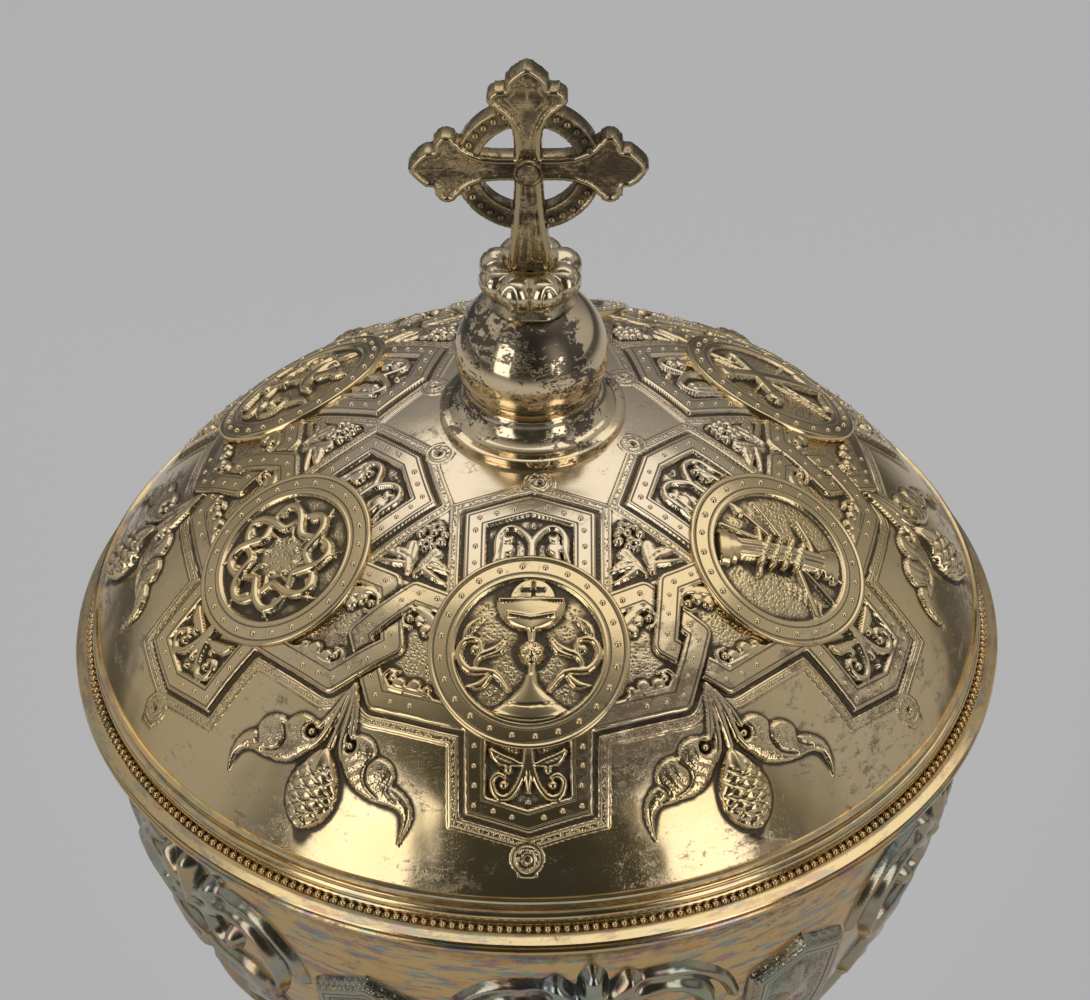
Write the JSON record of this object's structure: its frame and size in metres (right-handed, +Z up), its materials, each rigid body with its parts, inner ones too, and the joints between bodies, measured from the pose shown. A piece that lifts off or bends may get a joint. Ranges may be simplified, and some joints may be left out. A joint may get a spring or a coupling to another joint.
{
  "type": "ciborium vessel",
  "caption": "Footed ciborium cup with a pierced cage, a knop stem and a chased domed lid that lifts off by a cross finial.",
  "frame": {"origin": "centre of the foot's underside", "axes": "+Z up through the stem to the cross; the cross's flat faces look along -Y and +Y, and +X is along its right arm"},
  "size_m": [0.152, 0.152, 0.2969],
  "materials": {
    "lid_gilt": "polished silver-gilt with brown stains and dark oxide in the chased recesses",
    "medallion_gilt": "chased silver-gilt, matted ground",
    "finial_cast_gilt": "cast silver-gilt, worn, dark in the recesses",
    "cup_gilt": "silver-gilt with violet and green tarnish",
    "cage_patina": "cast silver, grey-blue to green patina",
    "knop_gilt": "polished silver-gilt",
    "foot_gilt": "polished silver-gilt with brown stains",
    "fittings": "plain turned metal"
  },
  "bodies": {
    "base": {"cup_bowl": "cup_gilt", "cup_lip_wire": "cup_gilt", "cup_cage": "cage_patina", "cup_calyx": "foot_gilt", "bowl_boss": "fittings", "cup_collar": "foot_gilt", "stem_upper": "foot_gilt", "knop_ring_upper": "knop_gilt", "knop_upper": "knop_gilt", "knop_band": "knop_gilt", "knop_boss_1": "knop_gilt", "knop_boss_2": "knop_gilt", "knop_boss_3": "knop_gilt", "knop_boss_4": "knop_gilt", "knop_boss_5": "knop_gilt", "knop_boss_6": "knop_gilt", "knop_lower": "knop_gilt", "knop_ring_lower": "knop_gilt", "stem_lower": "foot_gilt", "foot_neck_ring": "foot_gilt", "foot_dome": "foot_gilt", "foot_pearl_wire": "foot_gilt", "foot_gallery": "foot_gilt", "foot_base_ring": "foot_gilt", "tie_rod": "fittings", "clamp_plate": "fittings", "foot_nut": "fittings"},
    "lid": {"lid_dome": "lid_gilt", "lid_rim": "lid_gilt", "lid_pearl_wire": "lid_gilt", "lid_bezel": "lid_gilt", "medallion_1": "medallion_gilt", "medallion_2": "medallion_gilt", "medallion_3": "medallion_gilt", "medallion_4": "medallion_gilt", "medallion_5": "medallion_gilt", "medallion_6": "medallion_gilt", "finial_collar": "lid_gilt", "finial_orb": "lid_gilt", "finial_crown": "finial_cast_gilt", "finial_cross": "finial_cast_gilt", "cross_rivet": "finial_cast_gilt", "finial_stud": "fittings", "lid_washer": "fittings", "lid_nut": "fittings"}
  },
  "joints": [
    {"name": "lid_lift", "type": "slide", "parent": "base", "child": "lid", "axis": [0, 0, 1], "range_m": [0, 0.12]}
  ]
}
